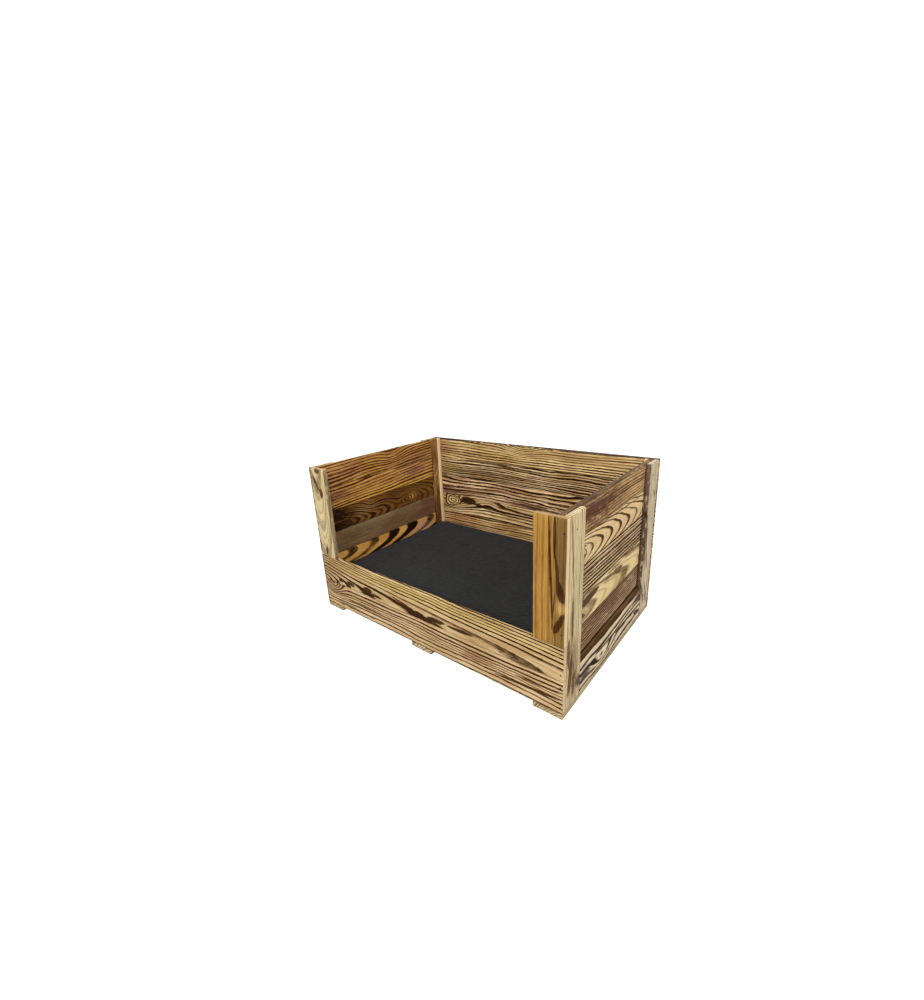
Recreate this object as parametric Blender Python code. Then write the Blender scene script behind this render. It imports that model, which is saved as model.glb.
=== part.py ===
"""Dog bed: a nailed crate of thin torched pine boards, low at the front, with a lift-out mattress.

Metres, +Z up. The origin is the middle of the footprint on the floor. The low entry side faces -Y,
and +X is the right-hand wall seen from the entry.
"""

import math

import bmesh
import bpy
from mathutils import Matrix, Vector

# Driving dimensions
WIDTH = 0.750  # outside, wall to wall
DEPTH = 0.502  # outside, front board to back planks
BOARD_T = 0.012  # one thickness of board everywhere
FIT = 0.0003  # hairline between pieces that touch
JOINT = 0.0008  # open joint between neighbouring planks of a wall
PLANK_W = 0.064  # wall planks
PLANK_ROWS = 6  # rows of planks in each side wall
RAIL_W = 0.075  # bottom rail on the outside of each side wall
FRONT_BOARD_W = 0.0735  # each of the two front boards
FRONT_POST_W = 0.066  # upright beside the entry
CORNER_BOARD_W = 0.061  # upright on the outside of a side wall
REAR_POST_W = 0.036  # upright in line with the side planks, at the back
LATH = 0.009  # square lath in each rear corner
RUNNER_W = 0.066  # boards that the bed stands on
SLAT_W = 0.0735
SLATS = 5
CHAMFER = 0.001  # sanded edge of every board

MATTRESS_H = 0.095
MATTRESS_CLEARANCE = 0.0025
MATTRESS_CORNER = 0.028  # corner radius seen from above
MATTRESS_EDGE = 0.010  # rounding of the top edge
COVER_T = 0.002

NAIL_R = 0.0009
NAIL_HEAD_R = 0.0017
NAIL_HEAD_T = 0.0009
NAIL_LENGTH = 0.040
NAIL_SIDES = 16
NAIL_INSET = 0.014  # from the top or bottom edge of the board that it holds

# Worked out from the driving dimensions
HALF_W = WIDTH / 2
HALF_D = DEPTH / 2
FLOOR_Z = BOARD_T + FIT  # underside of the slats, rails and front board
WALL_Z = FLOOR_Z + BOARD_T + FIT  # underside of the side planks, on the slats
HEIGHT = WALL_Z + PLANK_ROWS * PLANK_W + (PLANK_ROWS - 1) * JOINT
FRONT_TOP = FLOOR_Z + 2 * FRONT_BOARD_W + JOINT
SIDE_Y = HALF_D - BOARD_T - FIT  # half length of a side wall
OUTER_X = HALF_W - BOARD_T  # inner face of the outer layer of a side wall
INNER_X = OUTER_X - FIT - BOARD_T  # inner face of a side wall
INNER_Y = HALF_D - BOARD_T  # inner face of the back wall


def clear_scene():
    for old in list(bpy.data.objects):
        bpy.data.objects.remove(old, do_unlink=True)


def principled(name, colour, roughness, metallic=0.0):
    material = bpy.data.materials.new(name)
    material.use_nodes = True
    shader = material.node_tree.nodes["Principled BSDF"]
    shader.inputs["Base Color"].default_value = (*colour, 1.0)
    shader.inputs["Roughness"].default_value = roughness
    shader.inputs["Metallic"].default_value = metallic
    return material


def wood(name, tone):
    """Torched pine, from pale straw at tone 0 to burnt brown at tone 1."""
    straw = Vector((0.55, 0.36, 0.16))
    burnt = Vector((0.11, 0.05, 0.02))
    return principled(name + "_pine", straw.lerp(burnt, tone), 0.62)


def link(name, mesh, material):
    obj = bpy.data.objects.new(name, mesh)
    obj.data.materials.append(material)
    bpy.context.collection.objects.link(obj)
    return obj


def board(name, low, high, tone):
    """A sawn board between two corners, with sanded edges; its origin is its middle."""
    low = Vector(low)
    high = Vector(high)
    shape = bmesh.new()
    bmesh.ops.create_cube(shape, size=1.0, matrix=Matrix.Diagonal((*(high - low), 1.0)))
    bmesh.ops.bevel(shape, geom=shape.edges[:], offset=CHAMFER, segments=1, affect="EDGES")
    mesh = bpy.data.meshes.new(name)
    shape.to_mesh(mesh)
    shape.free()
    obj = link(name, mesh, wood(name, tone))
    obj.location = (low + high) / 2
    return obj


def span(side, a, b):
    """The two X values a and b, mirrored to the wall on that side, lowest first."""
    return sorted((side * a, side * b))


def row_z(row):
    """Bottom and top of a row of wall planks, counted up from the floor."""
    bottom = WALL_Z + row * (PLANK_W + JOINT)
    return bottom, bottom + PLANK_W


def base():
    """Three runners lie flat on the ground, and the slats cross them."""
    for name, x in (("left", RUNNER_W / 2 - HALF_W), ("middle", 0.0), ("right", HALF_W - RUNNER_W / 2)):
        low = (x - RUNNER_W / 2, -HALF_D, 0.0)
        high = (x + RUNNER_W / 2, HALF_D, BOARD_T)
        board(f"runner_{name}", low, high, 0.25)
    pitch = (2 * SIDE_Y - SLAT_W) / (SLATS - 1)
    for k in range(SLATS):
        y = k * pitch - SIDE_Y
        low = (FIT - OUTER_X, y, FLOOR_Z)
        high = (OUTER_X - FIT, y + SLAT_W, FLOOR_Z + BOARD_T)
        board(f"floor_slat_{k + 1}", low, high, 0.2)


def side_wall(name, side):
    """Planks inside, two corner boards and a bottom rail nailed over them on the outside."""
    outer = span(side, OUTER_X, HALF_W)
    inner = span(side, INNER_X, OUTER_X - FIT)
    front_end = CORNER_BOARD_W - SIDE_Y
    for place, y in (("front", -SIDE_Y), ("rear", SIDE_Y - CORNER_BOARD_W)):
        low = (outer[0], y, FLOOR_Z)
        high = (outer[1], y + CORNER_BOARD_W, HEIGHT)
        board(f"{name}_corner_board_{place}", low, high, 0.15)
    low = (outer[0], front_end + FIT, FLOOR_Z)
    high = (outer[1], -front_end - FIT, FLOOR_Z + RAIL_W)
    board(f"{name}_rail", low, high, 0.45)
    post_y = SIDE_Y - REAR_POST_W
    for row in range(PLANK_ROWS):
        bottom, top = row_z(row)
        tone = (0.35, 0.45, 0.55, 0.65, 0.4, 0.3)[row]
        board(f"{name}_plank_{row + 1}", (inner[0], -SIDE_Y, bottom), (inner[1], post_y - FIT, top), tone)
    board(f"{name}_rear_post", (inner[0], post_y, WALL_Z), (inner[1], SIDE_Y, HEIGHT), 0.5)
    lath = span(side, INNER_X - FIT - LATH, INNER_X - FIT)
    board(f"{name}_corner_lath", (lath[0], SIDE_Y - LATH, WALL_Z), (lath[1], SIDE_Y, HEIGHT), 0.0)


def back_wall():
    """Full-width planks over the rear ends of the side walls, with a wider rail at the bottom."""
    rail_top = row_z(1)[0] - JOINT
    board("back_rail", (-HALF_W, INNER_Y, FLOOR_Z), (HALF_W, HALF_D, rail_top), 0.4)
    for row in range(1, PLANK_ROWS):
        bottom, top = row_z(row)
        board(f"back_plank_{row}", (-HALF_W, INNER_Y, bottom), (HALF_W, HALF_D, top), 0.35)


def front_wall():
    """Two full-width boards, and a post over them on each side of the entry."""
    pieces = {}
    for name, bottom in (("lower", FLOOR_Z), ("upper", FLOOR_Z + FRONT_BOARD_W + JOINT)):
        low = (-HALF_W, -HALF_D, bottom)
        high = (HALF_W, -INNER_Y, bottom + FRONT_BOARD_W)
        pieces[name] = board(f"front_board_{name}", low, high, 0.35)
    for name, side in (("left", -1), ("right", 1)):
        x = span(side, HALF_W - FRONT_POST_W, HALF_W)
        low = (x[0], -HALF_D, FRONT_TOP + FIT)
        high = (x[1], -INNER_Y, HEIGHT)
        pieces[name] = board(f"front_post_{name}", low, high, 0.2)
    return pieces


def turned(name, profile):
    """A solid of revolution about Y from (radius, y) points that start and end on the axis."""
    shape = bmesh.new()
    points = [shape.verts.new((radius, y, 0.0)) for radius, y in profile]
    for a, b in zip(points, points[1:]):
        shape.edges.new((a, b))
    bmesh.ops.spin(
        shape,
        geom=shape.verts[:] + shape.edges[:],
        cent=(0, 0, 0),
        axis=(0, 1, 0),
        angle=math.tau,
        steps=NAIL_SIDES,
        use_merge=True,
    )
    bmesh.ops.remove_doubles(shape, verts=shape.verts[:], dist=0.00001)
    bmesh.ops.recalc_face_normals(shape, faces=shape.faces[:])
    mesh = bpy.data.meshes.new(name)
    shape.to_mesh(mesh)
    shape.free()
    return mesh


def nail_profile(grow):
    """Flat head, plain shank and a short point; grow is the clearance of the hole around it."""
    tip = NAIL_LENGTH + grow
    shank = NAIL_R + grow
    head = NAIL_HEAD_R + grow
    under_head = NAIL_HEAD_T + grow
    face = -grow
    return [(0.0, face), (head, face), (head, under_head), (shank, under_head), (shank, tip - 2 * shank), (0.0, tip)]


def nails(front, steel):
    """Two nails at each end of a front board and two in each post, driven into the corner boards."""
    nail_mesh = turned("nail", nail_profile(0.0))
    nail_mesh.shade_smooth()
    nail_mesh.set_sharp_from_angle(angle=math.radians(40))
    hole_mesh = turned("nail_hole", nail_profile(FIT))
    axis_x = (HALF_W + OUTER_X) / 2
    heights = {}
    for name, bottom in (("lower", FLOOR_Z), ("upper", FLOOR_Z + FRONT_BOARD_W + JOINT)):
        heights[name] = (bottom + NAIL_INSET, bottom + FRONT_BOARD_W - NAIL_INSET)
    post_bottom = FRONT_TOP + FIT
    post_heights = (post_bottom + 2 * NAIL_INSET, HEIGHT - 2 * NAIL_INSET)
    for wall, side in (("left", -1), ("right", 1)):
        corner = bpy.data.objects[f"{wall}_corner_board_front"]
        held = [("lower", heights["lower"]), ("upper", heights["upper"]), (wall, post_heights)]
        for piece, places in held:
            for k, z in enumerate(places):
                kind = "post" if piece == wall else f"{piece}_board"
                name = f"{wall}_{kind}_nail_{k + 1}"
                place = Vector((side * axis_x, -HALF_D, z))
                nail = link(name, nail_mesh.copy(), steel)
                nail.location = place
                cutter = bpy.data.objects.new(name + "_hole", hole_mesh.copy())
                bpy.context.collection.objects.link(cutter)
                cutter.location = place
                cutter.hide_render = True
                cutter.display_type = "WIRE"
                for target in (front[piece], corner):
                    cut = target.modifiers.new(name, "BOOLEAN")
                    cut.operation = "DIFFERENCE"
                    cut.object = cutter


def pad(name, inset, bottom, top, edge, material):
    """A block with rounded corners, seen from above, and a rounded top edge."""
    half_x = INNER_X - MATTRESS_CLEARANCE - inset
    half_y = INNER_Y - MATTRESS_CLEARANCE - inset
    size = Matrix.Diagonal((2 * half_x, 2 * half_y, top - bottom, 1.0))
    shape = bmesh.new()
    bmesh.ops.create_cube(shape, size=1.0, matrix=Matrix.Translation((0, 0, (top + bottom) / 2)) @ size)
    upright = [e for e in shape.edges if abs(e.verts[0].co.z - e.verts[1].co.z) > 0.001]
    bmesh.ops.bevel(
        shape, geom=upright, offset=MATTRESS_CORNER - inset, segments=5, affect="EDGES", profile=0.5
    )
    if edge > 0:
        rim = [e for e in shape.edges if all(abs(v.co.z - top) < 0.0001 for v in e.verts)]
        bmesh.ops.bevel(shape, geom=rim, offset=edge, segments=3, affect="EDGES", profile=0.5)
    bmesh.ops.recalc_face_normals(shape, faces=shape.faces[:])
    mesh = bpy.data.meshes.new(name)
    shape.to_mesh(mesh)
    shape.free()
    return link(name, mesh, material)


def mattress():
    """A foam core in a fabric cover: one piece over the top and sides, and a base panel."""
    fabric = principled("charcoal_fabric", (0.02, 0.022, 0.025), 0.9)
    foam = principled("foam", (0.75, 0.72, 0.62), 0.95)
    bottom = WALL_Z
    top = bottom + MATTRESS_H
    core_bottom = bottom + COVER_T + FIT
    core_top = top - COVER_T - FIT
    pad("mattress_base_panel", 0.0, bottom, bottom + COVER_T, 0.0, fabric)
    cover = pad("mattress_cover", 0.0, core_bottom, top, MATTRESS_EDGE, fabric)
    hollow = pad("cover_hollow", COVER_T, core_bottom - COVER_T, core_top + FIT, MATTRESS_EDGE - COVER_T, foam)
    hollow.hide_render = True
    hollow.display_type = "WIRE"
    cut = cover.modifiers.new("hollow", "BOOLEAN")
    cut.operation = "DIFFERENCE"
    cut.object = hollow
    pad("mattress_core", COVER_T + FIT, core_bottom, core_top, MATTRESS_EDGE - COVER_T, foam)


def main():
    clear_scene()
    base()
    side_wall("left", -1)
    side_wall("right", 1)
    back_wall()
    front = front_wall()
    nails(front, principled("nail_steel", (0.10, 0.09, 0.08), 0.45, 0.9))
    mattress()


main()
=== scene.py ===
import math

import bpy
from mathutils import Matrix, Vector


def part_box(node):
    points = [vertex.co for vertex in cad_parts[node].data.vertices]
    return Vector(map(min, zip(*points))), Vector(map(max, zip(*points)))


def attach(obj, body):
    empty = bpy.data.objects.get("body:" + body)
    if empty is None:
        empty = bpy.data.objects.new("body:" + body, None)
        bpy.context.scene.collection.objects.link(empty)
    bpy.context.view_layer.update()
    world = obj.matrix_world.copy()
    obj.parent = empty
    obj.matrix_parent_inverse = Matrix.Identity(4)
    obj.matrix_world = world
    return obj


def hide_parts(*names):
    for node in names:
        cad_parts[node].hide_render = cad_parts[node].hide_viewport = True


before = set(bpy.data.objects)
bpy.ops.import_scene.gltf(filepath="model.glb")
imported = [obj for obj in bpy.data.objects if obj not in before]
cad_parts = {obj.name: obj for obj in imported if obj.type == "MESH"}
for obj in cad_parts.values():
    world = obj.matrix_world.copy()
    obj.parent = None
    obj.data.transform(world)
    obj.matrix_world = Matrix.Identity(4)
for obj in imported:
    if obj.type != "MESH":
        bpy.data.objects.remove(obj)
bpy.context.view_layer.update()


# ---- Runners ----
# Three flat pine boards that run front to back under the floor, and that the whole bed stands on. They are
# sawn, torched with a gas flame and brushed, like every board of the bed, and nailed up into the floor
# slats.

class Grain:
    """A socket of a node material, on which + - * / and the methods below add the nodes."""

    tree = None

    def __init__(self, socket):
        self.socket = socket

    @staticmethod
    def new_material(name):
        material = bpy.data.materials.new(name)
        material.use_nodes = True
        Grain.tree = material.node_tree
        Grain.tree.nodes.clear()
        return material

    @staticmethod
    def node(kind, settings=None, output=0, **sockets):
        """One node: its settings first, then the values or links of its sockets, by name or as _0, _1."""
        made = Grain.tree.nodes.new(kind)
        for name, value in (settings or {}).items():
            setattr(made, name, value)
        for name, value in sockets.items():
            key = int(name[1:]) if name[0] == "_" else name.replace("_", " ")
            socket = made.inputs[key]
            if isinstance(value, Grain):
                Grain.tree.links.new(value.socket, socket)
            else:
                socket.default_value = value
        return Grain(made.outputs[output]) if made.outputs else None

    def maths(self, operation, other=None):
        values = {"_0": self}
        if other is not None:
            values["_1"] = other
        return Grain.node("ShaderNodeMath", {"operation": operation}, **values)

    def __add__(self, other):
        return self.maths("ADD", other)

    def __sub__(self, other):
        return self.maths("SUBTRACT", other)

    def __mul__(self, other):
        return self.maths("MULTIPLY", other)

    def __truediv__(self, other):
        return self.maths("DIVIDE", other)

    def __rsub__(self, other):
        return Grain.node("ShaderNodeMath", {"operation": "SUBTRACT"}, _0=other, _1=self)

    def __rtruediv__(self, other):
        return Grain.node("ShaderNodeMath", {"operation": "DIVIDE"}, _0=other, _1=self)

    def __neg__(self):
        return self * -1.0

    __radd__ = __add__
    __rmul__ = __mul__

    def span(self, low, high, to_low=0.0, to_high=1.0, shape="SMOOTHSTEP"):
        return Grain.node("ShaderNodeMapRange", {"interpolation_type": shape}, Value=self,
                          _1=low, _2=high, _3=to_low, _4=to_high)


def mix(amount, first, second):
    """Two colours through a Mix node. A plain colour is three sRGB numbers of 0 to 255."""
    made = Grain.tree.nodes.new("ShaderNodeMix")
    made.data_type = "RGBA"
    for place, value in ((0, amount), (6, first), (7, second)):
        if isinstance(value, Grain):
            Grain.tree.links.new(value.socket, made.inputs[place])
        elif place:
            made.inputs[place].default_value = paint(value)
        else:
            made.inputs[place].default_value = value
    return Grain(made.outputs[2])


def paint(colour):
    """Three sRGB numbers of 0 to 255 as the linear colour that a node takes."""
    parts = [value / 255 for value in colour]
    return [p / 12.92 if p <= 0.04045 else ((p + 0.055) / 1.055) ** 2.4 for p in parts] + [1.0]


def noise(place, scale, detail=2.0, rough=0.5):
    """Soft noise from -0.5 to 0.5 that grows no finer than its detail."""
    return Grain.node("ShaderNodeTexNoise", {"noise_dimensions": "3D"},
                      Vector=place, Scale=scale, Detail=detail, Roughness=rough) - 0.5


def vector(x, y, z):
    return Grain.node("ShaderNodeCombineXYZ", X=x, Y=y, Z=z)


def hump(u, v, at, reach):
    """1 at one place of the board's face, falling off to 0 around it."""
    du = (u - at[0]) / reach[0]
    dv = (v - at[1]) / reach[1]
    return (-(du * du + dv * dv)).maths("EXPONENT")


def finish(material, colour, rough, height, depth, shine=0.5, **constants):
    """The material's own shader, with its relief as a bump. shine is how much it mirrors: 0.5 for steel,
    almost nothing for raw wood."""
    bump = Grain.node("ShaderNodeBump", Height=height, Distance=depth, Strength=1.0)
    shader = Grain.node("ShaderNodeBsdfPrincipled", Base_Color=colour, Roughness=rough, Normal=bump,
                        Specular_IOR_Level=shine, **constants)
    Grain.node("ShaderNodeOutputMaterial", Surface=shader)
    return material


PINE = {
    "pith": 0.09, "depth": 0.05, "lean": 0.0, "tail": None, "ring": 0.0085, "outer": None, "start": 0.0,
    "uneven": 0.9, "wave": 0.0035, "jag": 0.1, "late": 0.50, "strength": 1.05, "fibre": 0.38, "hair": 0.5,
    "pale": (216, 190, 146), "warm": (186, 152, 104), "line": (42, 22, 6),
    "knots": (), "bends": (), "eyes": (), "burns": (), "tints": (), "scorch": (), "sides": (), "ends": None,
    "seed": 0.0,
}


def torched_pine(name, node, along, across, face, **figure):
    """Torched, brushed pine for one board. along, across and face are its axes; the rest is its figure, in
    metres from the board's middle, u along it and v across it: the log's pith (across) and depth
    (behind the face), its lean along the board and the quick taper of its tail (amount, length), the
    width of a ring and of the outer ones (radius, width), knots (u, v, radius), bends (u, v, reach u,
    reach v, push), eyes where a dark ring grazes the face (u, v, reach u, reach v, tilt, strength),
    burns and tints (u, v, reach u, reach v, colour, strength), scorch along an edge (axis, side, width,
    colour, strength), and sides and ends that have a colour of their own."""
    f = dict(PINE, **figure)
    low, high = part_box(node)
    middle, half = (low + high) / 2, (high - low) / 2
    a, b, c = "XYZ".index(along), "XYZ".index(across), "XYZ".index(face[1])
    sign = 1.0 if face[0] == "+" else -1.0
    seed = f["seed"]
    material = Grain.new_material(name)
    place = Grain.node("ShaderNodeSeparateXYZ", Vector=Grain.node("ShaderNodeTexCoord", output="Object"))
    axes = [Grain(place.socket.node.outputs[i]) for i in range(3)]
    u = axes[a] - middle[a]
    v = axes[b] - middle[b]
    w = (axes[c] - (middle[c] + sign * half[c])) * sign

    # the log: its slow wander, the waviness of a ring, and the torn edge that the wire brush leaves
    slow = noise(vector(u * 5.0 + seed, v * 14.0, w * 14.0), 1.0, 1.0)
    mid = noise(vector(u * 24.0 + seed * 1.7, v * 70.0 + 3.0, w * 70.0), 1.0, 2.0)
    fine = noise(vector(u * 90.0 + seed * 2.3, v * 600.0, w * 600.0), 1.0, 2.0)
    ragged = noise(vector(u * 55.0 + seed * 1.3, v * 240.0, w * 240.0), 1.0, 2.0)
    back = u * f["lean"] + f["depth"] - w
    if f["tail"]:
        amount, length = f["tail"]
        back = back - ((u + half[a]) * (-1.0 / length)).maths("EXPONENT") * amount
    side = v - f["pith"] + slow * (f["wave"] * 4.0) + mid * f["wave"]
    rho = (side * side + back * back).maths("SQRT")
    for at_u, at_v, reach_u, reach_v, push in f["bends"]:
        rho = rho + hump(u, v, (at_u, at_v), (reach_u, reach_v)) * push
    for at_u, at_v, radius in f["knots"]:
        rho = rho + hump(u, v, (at_u, at_v), (radius * 3.0, radius * 1.8)) * (radius * 1.6)
    rings = rho * (1.0 / f["ring"]) + fine * f["jag"] + f["start"]
    if f["outer"]:
        radius, width = f["outer"]
        rings = rings + (rho - radius).maths("MAXIMUM", 0.0) * (1.0 / width - 1.0 / f["ring"])
    uneven = noise(vector(rings * 0.6 + seed * 3.1, seed, 0.5), 1.0, 1.0)
    rings = rings + uneven * f["uneven"]
    within = rings.maths("FRACT")
    lot = Grain.node("ShaderNodeTexWhiteNoise", {"noise_dimensions": "1D"}, W=rings.maths("FLOOR") + seed)

    fibre = noise(vector(u * 34.0 + seed, v * 1000.0, w * 1000.0), 1.0, 3.0, 0.62)
    patch = noise(vector(u * 9.0 + seed * 5.0, v * 34.0, w * 34.0), 1.0, 2.0)

    # late wood: a soft rise, a sharp outer edge, and rings that differ in width and darkness
    rise = lot * (-0.30 * f["late"]) + (1.0 - 0.85 * f["late"])
    late = Grain.node("ShaderNodeMapRange", {"interpolation_type": "SMOOTHSTEP"}, Value=within,
                      _1=rise - 0.10, _2=rise + 0.09)
    late = late * within.span(0.96, 1.0, 1.0, 0.0)
    late = late * lot.span(0.0, 1.0, 0.7, 1.3, "LINEAR") * (mid * 0.9 + ragged * 0.9 + 1.0)
    late = late * f["strength"]
    hair = (rings * 3.0 + uneven * 1.7).maths("FRACT")
    hair = hair.span(0.50, 0.90) * hair.span(0.92, 1.0, 1.0, 0.0)
    hair = hair * (slow * 1.4 + mid * 1.6 + 0.8) * f["hair"]
    late = late.maths("MAXIMUM", hair)
    for at_u, at_v, reach_u, reach_v, tilt, amount in f["eyes"]:
        run = (u - at_u) / reach_u
        rise_v = (v - at_v - (u - at_u) * tilt + mid * (reach_v * 0.9) + slow * (reach_v * 0.6)) / reach_v
        lens = (-(run * run + rise_v * rise_v)).maths("EXPONENT") + fine * 0.2 + ragged * 0.34 + fibre * 0.15
        late = late.maths("MAXIMUM", lens.span(0.28, 0.56, 0.0, amount) * (fibre * 0.9 + 1.0))
    dark = late.maths("MINIMUM", 1.0).maths("MAXIMUM", 0.0)

    colour = mix(patch.span(-0.2, 0.2), f["pale"], f["warm"])
    for at_u, at_v, reach_u, reach_v, tint, amount in f["tints"]:
        colour = mix(hump(u, v, (at_u, at_v), (reach_u, reach_v)) * amount, colour, tint)
    colour = mix(fibre.span(-0.28, 0.28, 0.0, f["fibre"]), colour, f["line"])
    for at_u, at_v, reach_u, reach_v, tint, amount in f["burns"]:
        flame = patch * 1.8 + ragged * 2.0 + fibre * 1.6 + 1.0
        smudge = hump(u, v, (at_u, at_v), (reach_u, reach_v)) * flame
        colour = mix(smudge.span(0.12, 0.8, 0.0, amount), colour, tint)
    for at_u, at_v, radius in f["knots"]:
        du = (u - at_u) / (radius * 1.8)
        dv = (v - at_v) / radius * (du * 0.38 + 1.0)
        reach = (du * du + dv * dv).maths("SQRT") + mid * 0.45
        turns = (reach * 2.6).maths("FRACT").span(0.35, 0.70) * reach.span(0.95, 1.1, 0.95, 0.0)
        colour = mix(reach.span(0.8, 1.1, 0.6, 0.0), colour, (202, 168, 108))
        dark = dark * reach.span(0.85, 1.1, 0.1, 1.0)
        bark = reach.span(0.78, 0.98) * reach.span(1.0, 1.3, 1.0, 0.0)
        dark = dark.maths("MAXIMUM", turns.maths("MAXIMUM", bark))
    colour = mix(dark, colour, f["line"])

    # edges: sawn sides and ends, the places where the flame lingered, and the charred arrises
    rim_v = v.maths("ABSOLUTE") - half[b]
    rim_u = u.maths("ABSOLUTE") - half[a]
    for side_sign, tint, amount in f["sides"]:
        colour = mix((v * side_sign - half[b]).span(-0.0012, -0.0007, 0.0, amount), colour, tint)
    if f["ends"]:
        end_grain = noise(vector(seed, v * 260.0, w * 260.0), 1.0, 2.0).span(-0.4, 0.2, 0.55, 1.0)
        colour = mix(rim_u.span(-0.0012, -0.0007, 0.0, 0.85) * end_grain, colour, f["ends"])
    for axis, edge_sign, width, tint, amount in f["scorch"]:
        way, reach = (u, half[a]) if axis == "u" else (v, half[b])
        off = reach - way * edge_sign + (mid * 1.2 + patch * 1.2 + ragged * 4.5) * width
        colour = mix(off.span(width * 0.25, width, amount, 0.0), colour, tint)
    arris = rim_v.maths("MAXIMUM", rim_u).span(-0.0018, -0.0003)
    arris = arris * ((w + half[c]).maths("ABSOLUTE") - half[c]).span(-0.0018, -0.0003)
    colour = mix(arris * (patch * 1.6 + 0.5).span(0.15, 0.85, 0.0, 0.8), colour, (38, 23, 12))
    rough = (dark * -0.14) + (fibre * 0.15) + 0.74
    relief = dark * 0.5 + fibre * 0.45 + fine * 0.15
    return finish(material, colour, rough, relief, 0.0008, shine=0.04)


GRID_ALONG = 0.008      # the mesh that the saw marks are made in, along a board
GRID_ACROSS = 0.006
ARRIS = 0.0013          # how far an edge is worn round

kerf = bpy.data.textures.new("kerf_wobble", "CLOUDS")
kerf.noise_scale, kerf.noise_depth = 0.035, 2
bite = bpy.data.textures.new("worn_arris", "CLOUDS")
bite.noise_scale, bite.noise_depth = 0.006, 1


def sawn_board(node, material, body="crate", tight=0.0):
    """One board at the place and size of its node: cut in a grid, its arrises worn, its faces a little
    wavy. tight is how much broader it is, which shuts the joint between planks that lie edge to edge."""
    low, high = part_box(node)
    middle, size = (low + high) / 2, high - low + Vector((0.0, 0.0, tight))
    bpy.ops.object.select_all(action="DESELECT")
    bpy.ops.mesh.primitive_cube_add(size=1.0, location=middle, scale=size)
    board = bpy.context.object
    board.name = node + "_board"
    bpy.ops.object.transform_apply(location=True, rotation=True, scale=True)
    longest = max(range(3), key=lambda axis: size[axis])
    for axis in range(3):
        cuts = max(1, round(size[axis] / (GRID_ALONG if axis == longest else GRID_ACROSS)))
        bpy.ops.object.mode_set(mode="EDIT")
        bpy.ops.mesh.select_mode(type="EDGE")
        bpy.ops.mesh.select_all(action="DESELECT")
        bpy.ops.object.mode_set(mode="OBJECT")
        points = board.data.vertices
        for edge in board.data.edges:
            run = points[edge.vertices[1]].co - points[edge.vertices[0]].co
            edge.select = abs(run[axis]) > 0.99 * size[axis]
        bpy.ops.object.mode_set(mode="EDIT")
        bpy.ops.mesh.subdivide(number_cuts=cuts)
        bpy.ops.object.mode_set(mode="OBJECT")
    worn = board.modifiers.new("arris", "BEVEL")
    worn.limit_method, worn.angle_limit = "ANGLE", math.radians(40)
    worn.width, worn.segments = min(ARRIS, min(size) * 0.12), 2
    bpy.ops.object.modifier_apply(modifier=worn.name)
    for texture, depth in ((kerf, 0.0003), (bite, 0.0002)):
        wave = board.modifiers.new("wave", "DISPLACE")
        wave.texture, wave.strength, wave.mid_level = texture, depth, 1.0
        wave.texture_coords = "LOCAL"
        bpy.ops.object.modifier_apply(modifier=wave.name)
    bpy.ops.object.shade_smooth_by_angle(angle=math.radians(35))
    board.data.materials.clear()
    board.data.materials.append(material)
    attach(board, body)
    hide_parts(node)


for number, side in enumerate(("left", "middle", "right")):
    runner = "runner_" + side
    stock = torched_pine(runner + "_pine", runner, "Y", "X", "-Z", pith=0.04, depth=0.03, ring=0.006,
                         pale=(205, 181, 138), warm=(182, 152, 108), strength=0.6, seed=1.3 + number)
    sawn_board(runner, stock)


# ---- Floor slats ----
# Five pine slats laid across the runners with gaps between them, which carry the mattress. They are nailed
# down before the walls go up, so the walls close round them.

for number in range(1, 6):
    slat = f"floor_slat_{number}"
    stock = torched_pine(slat + "_pine", slat, "X", "Y", "+Z", pith=0.02 * (number - 3), depth=0.035,
                         lean=0.02, ring=0.0062, strength=0.75, seed=11.0 + number * 2.7)
    sawn_board(slat, stock)


# ---- Side walls, inner layer ----
# Six planks a side lie edge to edge from front to back, with an upright post closing their rear ends and a
# slim planed lath in the corner. All are 12 mm pine, nailed from outside through the corner boards and the
# rail.

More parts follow.
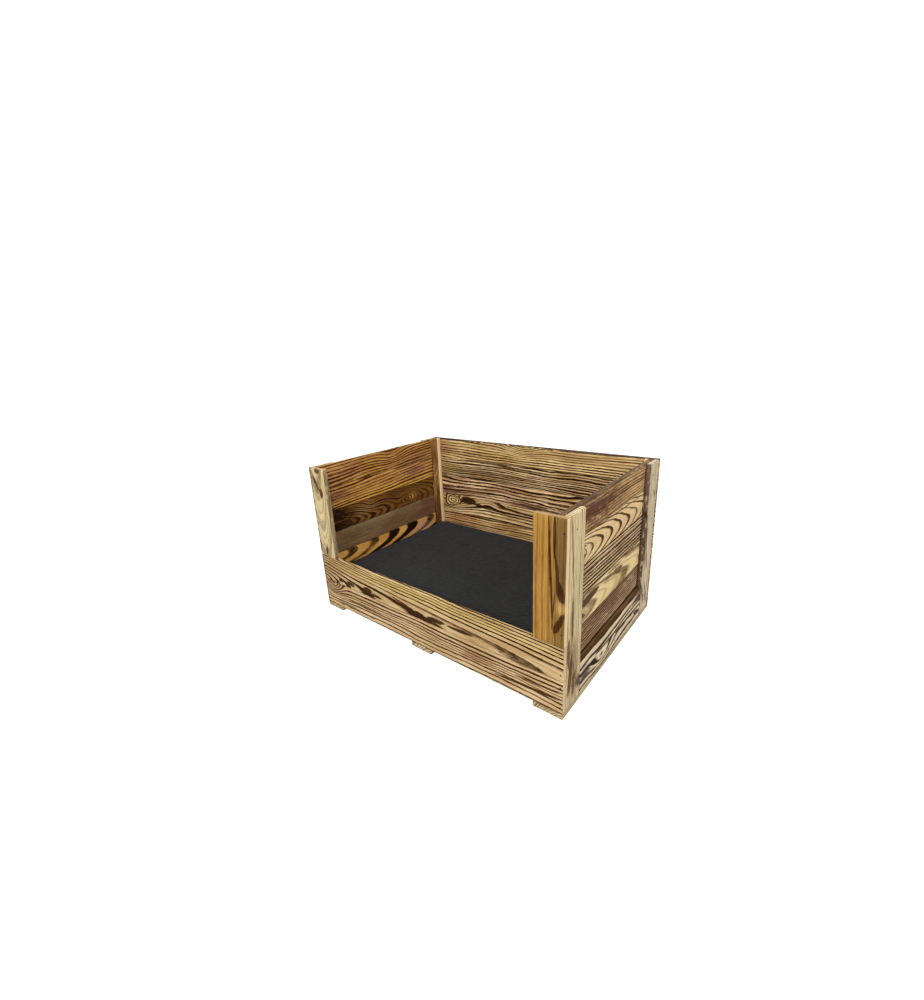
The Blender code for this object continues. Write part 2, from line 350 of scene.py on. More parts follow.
SIDE_PLANKS = {
    "left_plank_1": dict(pith=0.02, depth=0.03, seed=2.0),
    "left_plank_2": dict(
        pith=0.024, depth=0.055, lean=0.125, ring=0.0105, start=0.2, seed=4.2, late=0.5, uneven=0.2,
        hair=0.15, wave=0.004, pale=(206, 156, 80), warm=(184, 130, 60), line=(26, 12, 5),
        tints=((0.15, 0.0, 0.05, 0.03, (190, 146, 116), 0.8),),
    ),
    "left_plank_3": dict(
        pith=0.12, depth=0.02, ring=0.0042, seed=6.0, pale=(134, 108, 78), warm=(112, 84, 56),
        line=(58, 38, 20), strength=0.45, wave=0.001, fibre=0.65,
        burns=((0.19, 0.0, 0.06, 0.04, (100, 66, 54), 0.6),),
        tints=((-0.06, 0.03, 0.12, 0.014, (150, 128, 92), 0.8),),
    ),
    "left_plank_4": dict(
        pith=-0.020, depth=0.045, lean=0.16, ring=0.0048, seed=8.0, late=0.5, uneven=0.6,
        pale=(120, 82, 36), warm=(98, 62, 25), line=(40, 18, 5), strength=0.8,
        bends=((0.10, -0.008, 0.030, 0.018, -0.02), (-0.06, 0.012, 0.03, 0.02, 0.010)),
        tints=((-0.085, 0.004, 0.035, 0.018, (150, 116, 72), 0.8),
               (0.115, -0.008, 0.016, 0.010, (190, 140, 66), 0.9)),
        burns=((-0.21, -0.008, 0.085, 0.06, (22, 10, 5), 1.0),),
    ),
    "left_plank_5": dict(
        pith=0.09, depth=0.05, lean=0.10, ring=0.0078, seed=10.0, pale=(216, 164, 88), warm=(186, 132, 62),
        line=(58, 26, 6), strength=1.0, late=0.5, fibre=0.6,
        tints=((0.03, -0.024, 0.16, 0.012, (214, 168, 74), 0.9),
               (-0.17, 0.004, 0.05, 0.018, (150, 96, 74), 0.8),
               (0.13, 0.012, 0.06, 0.016, (140, 94, 84), 0.8)),
        burns=((-0.205, 0.0, 0.02, 0.06, (66, 34, 12), 0.7),),
    ),
    "left_plank_6": dict(
        pith=-0.09, depth=0.05, lean=-0.10, ring=0.0078, seed=12.0, pale=(204, 154, 86),
        warm=(176, 126, 66), line=(62, 28, 8), strength=1.0, late=0.5, fibre=0.6,
        bends=((0.04, 0.01, 0.05, 0.03, 0.014),),
        tints=((-0.12, 0.0, 0.05, 0.018, (156, 102, 84), 0.7),
               (0.14, -0.018, 0.06, 0.018, (140, 96, 82), 0.7),
               (-0.04, -0.004, 0.05, 0.02, (196, 148, 62), 0.7)),
        scorch=(("v", -1, 0.0035, (58, 30, 12), 0.8),),
    ),
    "right_plank_1": dict(pith=0.02, depth=0.03, seed=14.0),
    "right_plank_2": dict(
        pith=0.075, depth=0.03, lean=0.03, ring=0.0060, seed=16.0, pale=(206, 178, 140),
        warm=(170, 138, 104), line=(60, 34, 16), late=0.55, fibre=0.6,
        burns=((-0.02, 0.018, 0.22, 0.026, (100, 68, 46), 0.7),),
    ),
    "right_plank_3": dict(
        pith=-0.012, depth=0.050, lean=0.085, ring=0.0160, start=0.19, seed=18.0, uneven=0.5,
        pale=(220, 194, 150), warm=(204, 176, 128), line=(66, 40, 18), late=0.30, wave=0.006, strength=0.9,
        hair=0.45,
        eyes=((-0.110, 0.014, 0.060, 0.0110, 0.04, 1.0), (-0.145, -0.012, 0.030, 0.009, -0.2, 0.95),
              (-0.150, 0.026, 0.03, 0.006, 0.0, 0.9), (0.055, 0.014, 0.030, 0.0055, -0.15, 0.85),
              (0.035, 0.026, 0.05, 0.0025, 0.0, 0.8)),
        tints=((0.10, -0.012, 0.12, 0.02, (206, 186, 122), 0.8),),
    ),
    "right_plank_4": dict(
        pith=0.070, depth=0.022, ring=0.0080, seed=20.0, pale=(212, 184, 142), warm=(176, 146, 108),
        line=(40, 20, 6), late=0.60, wave=0.0025, strength=1.1,
        tints=((0.0, -0.022, 0.16, 0.010, (206, 184, 128), 0.8),),
    ),
    "right_plank_5": dict(
        pith=-0.006, depth=0.042, lean=0.10, ring=0.0050, start=0.29, seed=22.0, uneven=0.2,
        pale=(210, 182, 136), warm=(196, 166, 120), line=(64, 38, 12), late=0.30, wave=0.0045, hair=0.2,
        fibre=0.3, bends=((-0.165, -0.012, 0.03, 0.016, -0.014),),
        eyes=((-0.15, 0.010, 0.03, 0.0035, -0.15, 0.9), (-0.15, -0.014, 0.03, 0.004, 0.1, 0.9),
              (0.02, 0.027, 0.16, 0.0022, -0.03, 0.8)),
    ),
    "right_plank_6": dict(
        pith=0.085, depth=0.03, ring=0.0066, seed=24.0, pale=(204, 170, 120), warm=(176, 142, 96),
        line=(70, 42, 20), strength=0.85, fibre=0.65,
        burns=((-0.09, 0.004, 0.135, 0.034, (84, 54, 36), 0.95),
               (-0.06, 0.016, 0.05, 0.014, (84, 62, 60), 0.7)),
        scorch=(("v", 1, 0.004, (48, 30, 18), 0.7),),
    ),
}
SHUT = 0.0010           # how much broader the planks of a wall are, which closes the joints between them
for plank, figure in SIDE_PLANKS.items():
    stock = torched_pine(plank + "_pine", plank, "Y", "Z", "+X", **figure)
    sawn_board(plank, stock, tight=SHUT)

REAR_POST = dict(
    pith=0.07, depth=0.01, ring=0.0058, pale=(196, 150, 86), warm=(150, 106, 58), line=(52, 26, 8),
    late=0.55,
)
LATH = dict(
    pith=0.05, depth=0.01, ring=0.0045, pale=(222, 190, 146), warm=(206, 168, 126), line=(150, 112, 76),
    strength=0.35, fibre=0.25,
)
for side, seed in (("left", 31.0), ("right", 33.0)):
    facing = "+X" if side == "left" else "-X"
    upright, lath = side + "_rear_post", side + "_corner_lath"
    burnt = ((-0.09, 0.0, 0.12, 0.05, (84, 54, 26), 0.75),) if side == "left" else ()
    stock = torched_pine(upright + "_pine", upright, "Z", "Y", facing, seed=seed, burns=burnt, **REAR_POST)
    sawn_board(upright, stock)
    stock = torched_pine(lath + "_pine", lath, "Z", "Y", facing, seed=seed + 0.6, **LATH)
    sawn_board(lath, stock)


# ---- Side walls, outer layer ----
# An upright corner board at each end of a side and a rail between their feet, flush with one another, frame
# the planks. They are torched darker at the joints, where the flame lingers, and nailed through into the
# planks.

OUTER_BOARDS = {
    "corner_board_front": dict(
        along="Z", pith=0.075, depth=0.02, ring=0.0066, seed=41.0, wave=0.0025, late=0.4, strength=0.62,
        pale=(214, 194, 154), warm=(196, 176, 134), line=(74, 50, 26),
        eyes=((0.125, -0.018, 0.085, 0.0028, -0.09, 0.8), (-0.005, -0.012, 0.055, 0.0050, -0.02, 0.9),
              (-0.075, -0.024, 0.035, 0.0060, 0.0, 0.85), (-0.130, -0.016, 0.050, 0.0075, 0.12, 0.95),
              (-0.125, 0.002, 0.030, 0.0030, -0.3, 0.8), (-0.155, 0.000, 0.03, 0.006, 0.0, 0.85),
              (0.170, -0.0055, 0.0022, 0.0020, 0.0, 1.0)),
        tints=((0.06, 0.004, 0.10, 0.010, (196, 192, 138), 0.8),),
        burns=((-0.162, 0.026, 0.016, 0.016, (62, 50, 54), 0.9),
               (-0.120, -0.006, 0.07, 0.022, (120, 88, 58), 0.7)),
    ),
    "corner_board_rear": dict(
        along="Z", pith=-0.060, depth=0.03, ring=0.0072, seed=43.0, wave=0.004, late=0.42, strength=0.6,
        pale=(218, 200, 170), warm=(200, 180, 148), line=(54, 34, 16),
        eyes=((0.040, -0.022, 0.050, 0.0034, -0.20, 1.0), (-0.005, -0.017, 0.050, 0.0040, -0.20, 1.0),
              (-0.045, -0.008, 0.040, 0.0036, -0.24, 1.0), (-0.030, -0.024, 0.045, 0.0040, -0.12, 1.0),
              (-0.150, -0.014, 0.035, 0.0050, -0.40, 0.9), (-0.140, 0.004, 0.030, 0.0036, -0.45, 0.8),
              (-0.170, 0.012, 0.02, 0.005, -0.5, 0.7), (0.12, 0.012, 0.010, 0.005, -0.4, 0.8)),
        scorch=(("v", -1, 0.0050, (60, 36, 22), 0.85), ("v", 1, 0.003, (60, 42, 26), 0.7)),
        tints=((0.11, 0.0, 0.06, 0.02, (188, 180, 140), 0.7),),
    ),
    "rail": dict(
        along="Y", pith=0.085, depth=0.030, lean=0.06, ring=0.0150, seed=45.0, late=0.50, wave=0.007,
        pale=(222, 202, 170), warm=(192, 170, 136), line=(36, 20, 8), uneven=1.0, hair=0.35,
        bends=((-0.06, -0.018, 0.050, 0.018, -0.026), (0.08, 0.0, 0.06, 0.02, 0.008)),
        eyes=((0.045, -0.002, 0.040, 0.0050, -0.04, 1.0), (0.105, -0.004, 0.035, 0.0050, -0.08, 1.0),
              (-0.05, 0.006, 0.06, 0.0035, -0.05, 0.9), (0.15, -0.016, 0.02, 0.006, -0.2, 0.9)),
        burns=((-0.150, -0.002, 0.026, 0.012, (62, 56, 62), 0.9),
               (0.165, 0.024, 0.04, 0.016, (70, 44, 34), 0.9),
               (-0.03, -0.022, 0.010, 0.008, (120, 66, 40), 0.8)),
        sides=((1, (76, 50, 24), 0.9),),
    ),
}
for outer in ("right", "left"):
    for kind, figure in OUTER_BOARDS.items():
        figure = dict(figure)
        grain = figure.pop("along")
        board = outer + "_" + kind
        if outer == "left":
            figure.update(seed=figure["seed"] + 9.0, eyes=figure["eyes"][::2], pith=-figure["pith"])
        stock = torched_pine(board + "_pine", board, grain, "Y" if grain == "Z" else "Z",
                             "+X" if outer == "right" else "-X", **figure)
        sawn_board(board, stock)


# ---- Back wall ----
# A wide rail at the foot and five full-length planks above it, 12 mm pine laid edge to edge. They are
# nailed over the rear ends of the side walls.

BACK_PLANKS = {
    "back_rail": dict(pith=0.03, depth=0.03, seed=51.0),
    "back_plank_1": dict(
        pith=0.085, depth=0.04, lean=0.05, ring=0.0066, seed=53.0, late=0.5, pale=(220, 186, 128),
        warm=(166, 130, 78), line=(56, 30, 8), tints=((-0.25, 0.018, 0.07, 0.02, (176, 118, 82), 0.8),),
    ),
    "back_plank_2": dict(
        pith=-0.055, depth=0.030, ring=0.0086, seed=55.0, late=0.55, wave=0.002, uneven=0.5,
        pale=(234, 202, 148), warm=(190, 154, 100), line=(40, 18, 3), knots=((-0.296, 0.013, 0.0190),),
        bends=((-0.15, 0.018, 0.035, 0.014, -0.010),),
        eyes=((-0.230, 0.019, 0.036, 0.0150, 0.0, 1.0), (-0.178, 0.009, 0.050, 0.0058, -0.14, 1.0),
              (-0.110, 0.003, 0.050, 0.0036, -0.06, 0.95), (-0.098, 0.024, 0.028, 0.0070, -0.34, 1.0),
              (-0.040, 0.014, 0.060, 0.0044, -0.10, 1.0), (0.03, 0.010, 0.07, 0.0034, -0.02, 0.95)),
        tints=((-0.292, 0.014, 0.030, 0.018, (204, 176, 114), 1.0),
               (-0.150, 0.018, 0.035, 0.010, (214, 180, 130), 1.0)),
    ),
    "back_plank_3": dict(
        pith=-0.085, depth=0.03, ring=0.0095, outer=(0.092, 0.0125), seed=57.0, late=0.60, wave=0.007,
        strength=1.15, pale=(236, 200, 152), warm=(170, 132, 90), line=(40, 18, 3),
        burns=((-0.32, -0.018, 0.05, 0.018, (94, 54, 46), 0.7),
               (0.02, -0.024, 0.09, 0.011, (94, 52, 40), 0.85)),
        tints=((0.10, 0.012, 0.10, 0.012, (204, 172, 112), 0.7),),
    ),
    "back_plank_4": dict(
        pith=0.090, depth=0.03, lean=-0.03, ring=0.0068, outer=(0.085, 0.0062), seed=59.0, late=0.58,
        wave=0.005, strength=1.15, pale=(236, 204, 152), warm=(178, 142, 94), line=(42, 20, 4),
        eyes=((-0.18, -0.030, 0.055, 0.0060, -0.04, 0.95), (-0.15, 0.030, 0.10, 0.0030, 0.0, 0.9),
              (-0.05, 0.024, 0.12, 0.0026, -0.05, 0.9)),
        tints=((-0.30, 0.002, 0.035, 0.020, (204, 174, 106), 1.0),
               (-0.16, 0.004, 0.07, 0.014, (150, 128, 102), 0.6)),
    ),
    "back_plank_5": dict(
        pith=0.088, depth=0.03, lean=-0.06, ring=0.0078, seed=61.0, late=0.5, wave=0.003, strength=0.85,
        pale=(234, 202, 142), warm=(188, 152, 98), line=(60, 32, 10),
        bends=((-0.012, 0.034, 0.055, 0.030, -0.024),),
        tints=((-0.08, -0.010, 0.08, 0.016, (198, 168, 96), 0.7),
               (-0.33, 0.0, 0.05, 0.020, (150, 98, 74), 0.6)),
        scorch=(("v", 1, 0.0045, (44, 30, 20), 0.85),),
    ),
}
for plank, figure in BACK_PLANKS.items():
    stock = torched_pine(plank + "_pine", plank, "X", "Z", "-Y", **figure)
    sawn_board(plank, stock, tight=SHUT)


# ---- Front boards and posts ----
# Two wide boards cross the front below the entry, and a short upright stands on each end of them. They
# cover the front ends of the side walls and are fixed to them with two nails at each joint.

FRONT = {
    "front_board_lower": dict(
        along="X", pith=0.044, depth=0.030, ring=0.0058, outer=(0.064, 0.0120), seed=71.0, late=0.42,
        wave=0.004, uneven=0.9, pale=(212, 184, 140), warm=(190, 158, 112), line=(60, 34, 12),
        strength=0.95, bends=((-0.335, 0.030, 0.035, 0.030, -0.020),),
        eyes=((0.30, -0.009, 0.09, 0.0034, 0.07, 1.0), (0.32, 0.008, 0.06, 0.0026, 0.05, 0.9),
              (-0.20, -0.002, 0.10, 0.0034, -0.02, 0.9), (-0.25, -0.022, 0.08, 0.0034, -0.03, 0.85)),
        burns=((-0.33, 0.020, 0.05, 0.022, (104, 68, 52), 0.35),
               (0.17, 0.002, 0.05, 0.012, (132, 84, 60), 0.5)),
        ends=(192, 168, 130), scorch=(("u", -1, 0.006, (70, 54, 42), 0.8),),
    ),
    "front_board_upper": dict(
        along="X", pith=-0.0355, depth=0.050, lean=0.03, tail=(0.035, 0.08), ring=0.0086,
        outer=(0.066, 0.0058), start=-0.08, seed=73.0, late=0.40, wave=0.0025, uneven=0.35, hair=0.35,
        pale=(204, 176, 130), warm=(178, 146, 100), line=(50, 27, 8),
        eyes=((-0.298, -0.022, 0.011, 0.0075, 0.0, 1.0), (-0.255, -0.023, 0.018, 0.0060, -0.15, 1.0),
              (-0.185, -0.020, 0.020, 0.0085, 0.0, 1.0), (-0.150, -0.026, 0.024, 0.0050, -0.1, 0.95),
              (-0.055, -0.012, 0.045, 0.0024, -0.16, 1.0), (-0.002, -0.025, 0.026, 0.0085, 0.0, 1.0),
              (0.055, -0.021, 0.030, 0.0070, 0.04, 1.0), (0.125, -0.021, 0.040, 0.0046, 0.02, 1.0),
              (0.240, -0.026, 0.012, 0.004, 0.3, 0.7)),
        tints=((0.0, 0.022, 0.40, 0.016, (206, 180, 106), 0.7),
               (-0.34, 0.01, 0.04, 0.04, (168, 130, 94), 0.7)),
        ends=(192, 168, 130), scorch=(("u", -1, 0.006, (70, 54, 42), 0.8),),
    ),
    "front_post_left": dict(
        along="Z", pith=-0.006, depth=0.055, lean=-0.11, ring=0.0120, seed=75.0, late=0.32, strength=0.5,
        pale=(206, 186, 142), warm=(194, 174, 128), line=(62, 40, 16),
        eyes=((0.060, 0.009, 0.016, 0.0075, 0.0, 0.95), (0.085, -0.009, 0.024, 0.0065, -0.5, 0.95),
              (0.120, 0.002, 0.009, 0.012, 0.0, 0.9), (-0.108, -0.002, 0.016, 0.006, 0.2, 0.9),
              (-0.055, 0.020, 0.07, 0.0014, 0.05, 0.6)),
        scorch=(("v", -1, 0.0065, (66, 54, 44), 0.85), ("v", 1, 0.002, (52, 38, 26), 0.6)),
        ends=(166, 140, 102),
    ),
    "front_post_right": dict(
        along="Z", pith=0.060, depth=0.012, ring=0.0125, seed=77.0, late=0.35, strength=0.4, wave=0.002,
        pale=(178, 136, 68), warm=(160, 118, 54), line=(46, 20, 3),
        eyes=((0.010, 0.0035, 0.115, 0.0022, -0.045, 0.95), (0.060, -0.001, 0.09, 0.0014, -0.03, 0.85),
              (0.085, 0.010, 0.05, 0.0030, -0.02, 0.9), (0.02, 0.016, 0.040, 0.0036, -0.12, 0.85),
              (-0.014, 0.023, 0.024, 0.0078, -0.25, 0.9), (-0.078, 0.021, 0.026, 0.0070, 0.40, 0.9),
              (-0.055, 0.009, 0.04, 0.0016, 0.08, 0.8), (-0.05, -0.027, 0.10, 0.0012, 0.0, 0.6)),
        tints=((0.03, 0.024, 0.20, 0.016, (104, 82, 46), 1.0),
               (-0.045, 0.024, 0.016, 0.012, (196, 158, 92), 0.9)),
        sides=((1, (196, 172, 132), 0.95), (-1, (196, 170, 122), 0.8)),
        ends=(150, 122, 88),
    ),
}
for board, figure in FRONT.items():
    figure = dict(figure)
    grain = figure.pop("along")
    stock = torched_pine(board + "_pine", board, grain, "Z" if grain == "X" else "X", "-Y", **figure)
    sawn_board(board, stock)


# ---- Nails ----
# Flat-headed steel nails, driven through at the joints and darkened by the flame that finished the wood.
# The twelve of the front are solids of the frame. Of the others, in the walls, back and floor, only the
# heads are made.

HEAD_RADIUS = 0.0017
HEAD_DEPTH = 0.0009
SIDE_SINK = 0.00015     # how deep the middle of a head lies in the side walls, and in the other boards
BOARD_SINK = 0.0002
FROM_END = 0.018        # from a plank's end to its nails, and from its edge
FROM_EDGE = 0.016

Grain.new_material("torched_steel")
soot = noise(Grain.node("ShaderNodeTexCoord", output="Object"), 900.0, 3.0)
torched_steel = finish(bpy.data.materials["torched_steel"],
                       mix(soot.span(-0.2, 0.2), (26, 20, 15), (54, 44, 35)),
                       soot.span(-0.3, 0.3, 0.55, 0.8), soot, 0.0001, Metallic=0.4)
for name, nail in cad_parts.items():
    if "_nail_" in name:
        nail.data.materials.clear()
        nail.data.materials.append(torched_steel)


def nail_heads(name, places, way):
    """Heads of nails: one head turned and worn, then copied to each place, flush with the wood."""
    bpy.ops.object.select_all(action="DESELECT")
    turn = {"x": (0, math.pi / 2, 0), "y": (math.pi / 2, 0, 0), "z": (0, 0, 0)}[way]
    bpy.ops.mesh.primitive_cylinder_add(vertices=14, radius=HEAD_RADIUS, depth=HEAD_DEPTH, rotation=turn)
    head = bpy.context.object
    bpy.ops.object.transform_apply(location=True, rotation=True, scale=True)
    worn_rim = head.modifiers.new("worn_rim", "BEVEL")
    worn_rim.width, worn_rim.segments, worn_rim.limit_method = 0.0003, 2, "ANGLE"
    bpy.ops.object.modifier_apply(modifier=worn_rim.name)
    bpy.ops.object.shade_smooth_by_angle(angle=math.radians(30))
    head.data.materials.append(torched_steel)
    copies = []
    for place in places:
        copy = bpy.data.objects.new(name, head.data.copy())
        copy.data.transform(Matrix.Translation(place))
        bpy.context.scene.collection.objects.link(copy)
        copies.append(copy)
    bpy.data.objects.remove(head)
    bpy.ops.object.select_all(action="DESELECT")
    for copy in copies:
        copy.select_set(True)
    bpy.context.view_layer.objects.active = copies[0]
    bpy.ops.object.join()
    copies[0].name = name
    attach(copies[0], "crate")


for side in ("right", "left"):
    places = []
    for end in ("front", "rear"):
        low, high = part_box(f"{side}_corner_board_{end}")
        x = high.x - SIDE_SINK if side == "right" else low.x + SIDE_SINK
        y = (low.y + high.y) / 2 - 0.006
        places += [(x, y, z) for z in (high.z - 0.0305, low.z + 0.043)]
    nail_heads(side + "_wall_nail_heads", places, "x")
places = []
for plank in ("back_rail", *BACK_PLANKS):
    low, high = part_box(plank)
    for x in (low.x + FROM_END, high.x - FROM_END):
        places += [(x, high.y - BOARD_SINK, z) for z in (low.z + FROM_EDGE, high.z - FROM_EDGE)]
nail_heads("back_wall_nail_heads", sorted(set(places)), "y")
places = []
for number in range(1, 6):
    low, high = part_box(f"floor_slat_{number}")
    for x in (-0.342, 0.0, 0.342):
        places += [(x, y, high.z - BOARD_SINK) for y in (low.y + FROM_END, high.y - FROM_END)]
nail_heads("floor_nail_heads", places, "z")


# ---- Mattress ----
# A flat foam slab in a sewn charcoal cover of ribbed upholstery cloth, cut to fill the whole floor and held
# down only by its own weight. The cover has a seam just below its top edge.

FOAM_ROOM = Vector((0.018, 0.018, 0.012))       # how much smaller the foam is than the space in its cover
FOAM_ROUND = 0.010

Grain.new_material("mattress_foam")
cell = Grain.node("ShaderNodeTexVoronoi", {"feature": "F1"}, Scale=700.0,
                  Vector=Grain.node("ShaderNodeTexCoord", output="Object"))
# the foam is painted darker in the hollows of its cells, where its bump is lowest: painted shade
mattress_foam = finish(bpy.data.materials["mattress_foam"],
                       mix(cell.span(0.1, 0.7), (196, 190, 172), (226, 222, 206)),
                       cell.span(0.0, 1.0, 0.95, 0.85), cell, 0.0004)
low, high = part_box("mattress_core")
bpy.ops.object.select_all(action="DESELECT")
bpy.ops.mesh.primitive_cube_add(size=1.0, location=(low + high) / 2, scale=high - low - FOAM_ROOM)
foam_block = bpy.context.object
foam_block.name = "mattress_foam_block"
bpy.ops.object.transform_apply(location=True, rotation=True, scale=True)
bpy.ops.object.mode_set(mode="EDIT")
bpy.ops.mesh.select_all(action="SELECT")
bpy.ops.mesh.bevel(offset=FOAM_ROUND, segments=5, affect="EDGES")
bpy.ops.mesh.subdivide(number_cuts=3)
bpy.ops.object.mode_set(mode="OBJECT")
bpy.ops.object.shade_smooth_by_angle(angle=math.radians(35))
foam_block.data.materials.append(mattress_foam)
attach(foam_block, "mattress")
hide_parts("mattress_core")


RIB_PITCH = 0.0050
THREAD_PITCH = 0.0014


def ribbed_cloth():
    """Charcoal upholstery cloth: a fine weave crossed by a soft diagonal rib."""
    material = Grain.new_material("charcoal_ribbed_cloth")
    coords = Grain.node("ShaderNodeTexCoord", output="Object")
    place = Grain.node("ShaderNodeSeparateXYZ", Vector=coords)
    x, y, z = (Grain(place.socket.node.outputs[i]) for i in range(3))
    drift = noise(coords, 14.0, 3.0)
    slub = noise(vector((x + y) * 40.0, (y - x) * 330.0, z * 300.0), 1.0, 3.0)
    rib = ((y - x + z * 0.8) * (math.tau / RIB_PITCH * 0.7071) + drift * 2.2 + slub * 2.0).maths("SINE")
    warp = ((x + z) * (math.tau / THREAD_PITCH)).maths("SINE")
    weft = ((y + z) * (math.tau / THREAD_PITCH)).maths("SINE")
    thread = warp * weft
    lint = noise(coords, 260.0, 4.0, 0.65)
    height = rib * 0.35 + thread * 0.3 + slub * 0.6 + lint * 0.3
    # the cloth is lighter on the ridges of the rib and the weave and darker in the grooves between them,
    # which is painted shade; the slub of the yarn gives it its own uneven tone
    shade = (rib * 0.30 + slub * 1.2 + thread * 0.16 + 0.45).span(0.0, 1.0)
    colour = mix(shade, (19, 20, 22), (51, 51, 50))
    colour = mix(drift.span(-0.2, 0.3, 0.0, 0.2), colour, (50, 50, 51))
    return finish(material, colour, lint.span(-0.3, 0.3, 0.86, 0.98), height, 0.0008, shine=0.15)


CLOTH_ROOM = 0.0014     # how far the cover may swell towards a wall
CLOTH_RISE = 0.0040     # and upwards, where it is free
SEAM_DEPTH = 0.0016
SEAM_DROP = 0.016       # from the top down to the seam
SIM_FRAMES = 20         # how long the cloth is left to fill out
VOXEL = 0.0068          # the mesh of the cloth
CORNER = 0.026          # radius of the four upright corners
SEWN_EDGE = 0.007       # radius of the other edges
SLACK = Vector((0.0030, 0.0030, 0.0030))        # the cover starts this much smaller, and then swells

low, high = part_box("mattress_cover")
charcoal = ribbed_cloth()
bpy.ops.object.select_all(action="DESELECT")
bpy.ops.mesh.primitive_cube_add(size=1.0, location=(low + high) / 2 - Vector((0, 0, SLACK.z / 2)),
                                scale=high - low - SLACK)
mattress = bpy.context.object
mattress.name = "mattress_soft_cover"
bpy.ops.object.transform_apply(location=True, rotation=True, scale=True)
bpy.ops.object.mode_set(mode="EDIT")
bpy.ops.mesh.select_mode(type="EDGE")
bpy.ops.mesh.select_all(action="DESELECT")
bpy.ops.object.mode_set(mode="OBJECT")
points = mattress.data.vertices
for edge in mattress.data.edges:
    run = points[edge.vertices[1]].co - points[edge.vertices[0]].co
    edge.select = abs(run.z) > 0.05
bpy.ops.object.mode_set(mode="EDIT")
bpy.ops.mesh.bevel(offset=CORNER, segments=8, affect="EDGES")
bpy.ops.object.mode_set(mode="OBJECT")
rounded = mattress.modifiers.new("sewn_edge", "BEVEL")
rounded.limit_method, rounded.angle_limit = "ANGLE", math.radians(60)
rounded.width, rounded.segments = SEWN_EDGE, 4
bpy.ops.object.modifier_apply(modifier=rounded.name)
skin = mattress.modifiers.new("skin", "REMESH")
skin.mode, skin.voxel_size = "VOXEL", VOXEL
bpy.ops.object.modifier_apply(modifier=skin.name)
before = [point.co.copy() for point in mattress.data.vertices]
cloth = mattress.modifiers.new("stuffing", "CLOTH")
cloth.settings.use_pressure = True
cloth.settings.uniform_pressure_force = 4.0
cloth.settings.quality = 4
cloth.settings.effector_weights.gravity = 0.0
cloth.collision_settings.use_collision = False
for moment in range(1, SIM_FRAMES + 1):
    bpy.context.scene.frame_set(moment)
bpy.ops.object.modifier_apply(modifier=cloth.name)
bpy.context.scene.frame_set(1)
for point, start in zip(mattress.data.vertices, before):
    move = point.co - start
    sideways = Vector((move.x, move.y, 0.0))
    if sideways.length > CLOTH_ROOM:
        sideways *= CLOTH_ROOM / sideways.length
    point.co = start + sideways + Vector((0, 0, min(max(move.z, 0.0), CLOTH_RISE)))
smooth = mattress.modifiers.new("cloth_smooth", "SUBSURF")
smooth.levels = smooth.render_levels = 1
bpy.ops.object.modifier_apply(modifier=smooth.name)
top = max(point.co.z for point in mattress.data.vertices)
middle = (low + high) / 2
for point in mattress.data.vertices:
    x, y, z = point.co
    # foam is never quite flat, and the cloth lies in it with slow, shallow hollows
    hollow = math.sin(x * 11.0 + 1.3) * math.sin(y * 13.0 + 0.4) + 0.6 * math.sin(x * 23.0 - y * 17.0)
    lift = min(1.0, max(0.0, (z - middle.z) / (top - middle.z)))
    away = min(abs(abs(x) - high.x), abs(abs(y) - high.y))
    point.co.z += lift * (0.0007 * hollow - 0.0016 * math.exp(-(away / 0.018) ** 2))
    # the seam under the top edge draws the sides in
    draw = SEAM_DEPTH * math.exp(-((z - (top - SEAM_DROP)) / 0.0028) ** 2)
    if draw > 1e-5:
        outward = Vector((point.normal.x, point.normal.y, 0.0))
        if outward.length > 0.3:
            point.co -= outward.normalized() * draw
    point.co.z = min(max(point.co.z, low.z + 0.0002), high.z + 0.001)
bpy.ops.object.shade_smooth()
mattress.data.materials.clear()
mattress.data.materials.append(charcoal)
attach(mattress, "mattress")
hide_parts("mattress_cover", "mattress_base_panel")


# ---- Studio ----
# A plain pale floor and a round backdrop that light nothing themselves, soft light from all round, and the
# camera, which stands in front of the right corner and looks a little down.

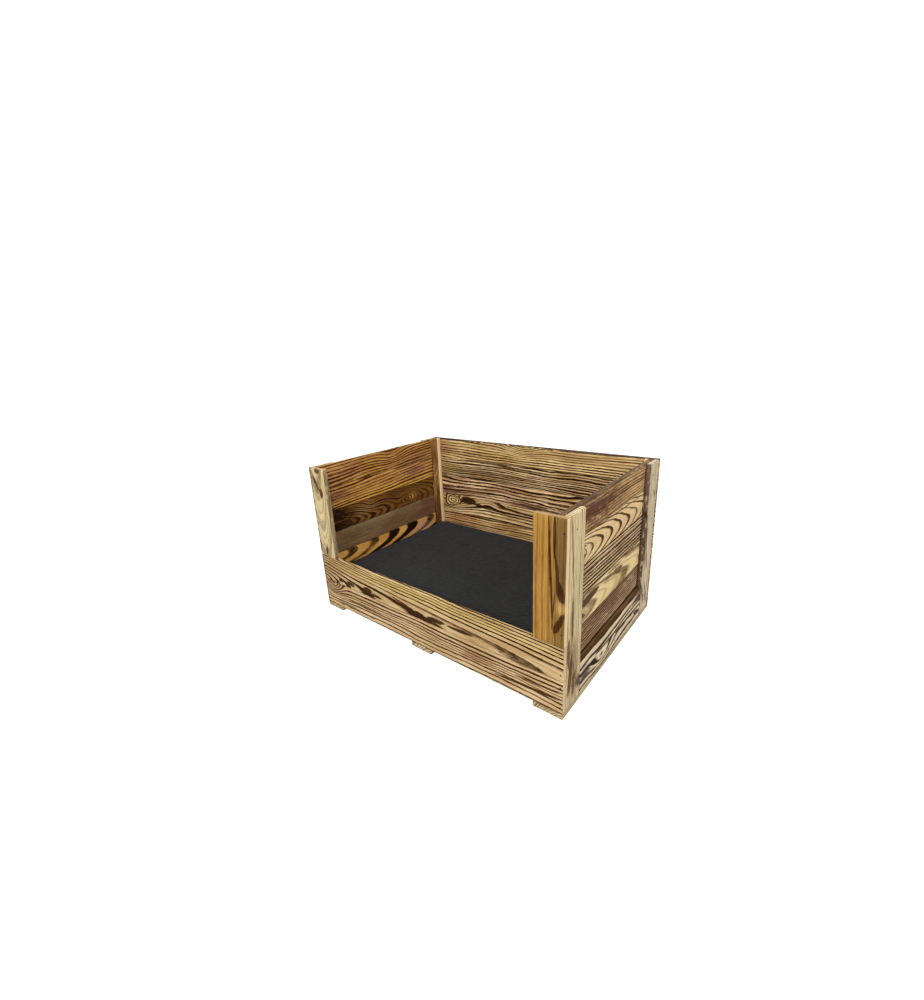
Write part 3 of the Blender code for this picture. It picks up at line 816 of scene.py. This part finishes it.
bpy.ops.object.select_all(action="DESELECT")
bpy.ops.mesh.primitive_plane_add(size=15.0, location=(0, 0, -0.0002))
studio_floor = bpy.context.object
studio_floor.name = "studio_floor"
bpy.ops.mesh.primitive_uv_sphere_add(segments=48, ring_count=24, radius=8.0, location=(0, 0, 0))
backdrop = bpy.context.object
backdrop.name = "studio_backdrop"
bpy.ops.object.shade_smooth()
for surface, shade, glow in ((studio_floor, 150, 0.84), (backdrop, 0, 1.02)):
    paper = Grain.new_material(surface.name + "_paper")
    grit = noise(Grain.node("ShaderNodeTexCoord", output="Object"), 40.0, 2.0)
    tone = mix(grit.span(-0.5, 0.5), (shade, shade, shade), (shade + 4, shade + 4, shade + 4))
    finish(paper, tone, grit.span(-0.5, 0.5, 0.9, 1.0), grit, 0.00001, shine=0.0,
           Emission_Color=(1.0, 1.0, 1.0, 1.0), Emission_Strength=glow)
    surface.data.materials.append(paper)
    surface.visible_diffuse = surface.visible_glossy = surface.visible_shadow = False

world = bpy.data.worlds.new("studio_light")
bpy.context.scene.world = world
world.use_nodes = True
world.node_tree.nodes["Background"].inputs["Color"].default_value = (1.0, 1.0, 1.0, 1.0)
world.node_tree.nodes["Background"].inputs["Strength"].default_value = 0.60


def soft_box(name, place, aim, size, watts):
    """A large soft lamp that looks at one point."""
    lamp = bpy.data.lights.new(name, "AREA")
    lamp.shape, lamp.size, lamp.energy = "SQUARE", size, watts
    holder = bpy.data.objects.new(name, lamp)
    bpy.context.scene.collection.objects.link(holder)
    turn = (Vector(aim) - Vector(place)).to_track_quat("-Z", "Y")
    holder.matrix_world = Matrix.Translation(place) @ turn.to_matrix().to_4x4()


soft_box("front_light", (0.4, -3.0, 2.3), (0, 0.1, 0.2), 1.8, 138.0)
soft_box("side_light", (3.0, -0.5, 1.9), (0, 0, 0.2), 1.8, 94.0)
soft_box("top_light", (-0.2, -0.3, 2.8), (0, 0, 0.1), 2.0, 22.0)
soft_box("back_light", (-1.2, 3.0, 1.8), (0, 0, 0.2), 1.8, 44.0)

CAMERA_PLACE = (0.68236, -0.88748, 0.67356)
CAMERA_TURN = math.radians(39.835)
CAMERA_DOWN = math.radians(17.750)
CAMERA_ROLL = math.radians(-2.795)

lens = bpy.data.cameras.new("camera")
lens.lens, lens.sensor_width, lens.sensor_fit = 16.102, 36.0, "AUTO"
lens.clip_start = 0.01
camera = bpy.data.objects.new("camera", lens)
bpy.context.scene.collection.objects.link(camera)
camera.matrix_world = (Matrix.Translation(CAMERA_PLACE)
                       @ Matrix.Rotation(CAMERA_TURN, 4, "Z")
                       @ Matrix.Rotation(math.pi / 2 - CAMERA_DOWN, 4, "X")
                       @ Matrix.Rotation(CAMERA_ROLL, 4, "Z"))
bpy.context.scene.camera = camera
bpy.context.scene.view_settings.view_transform = "Standard"
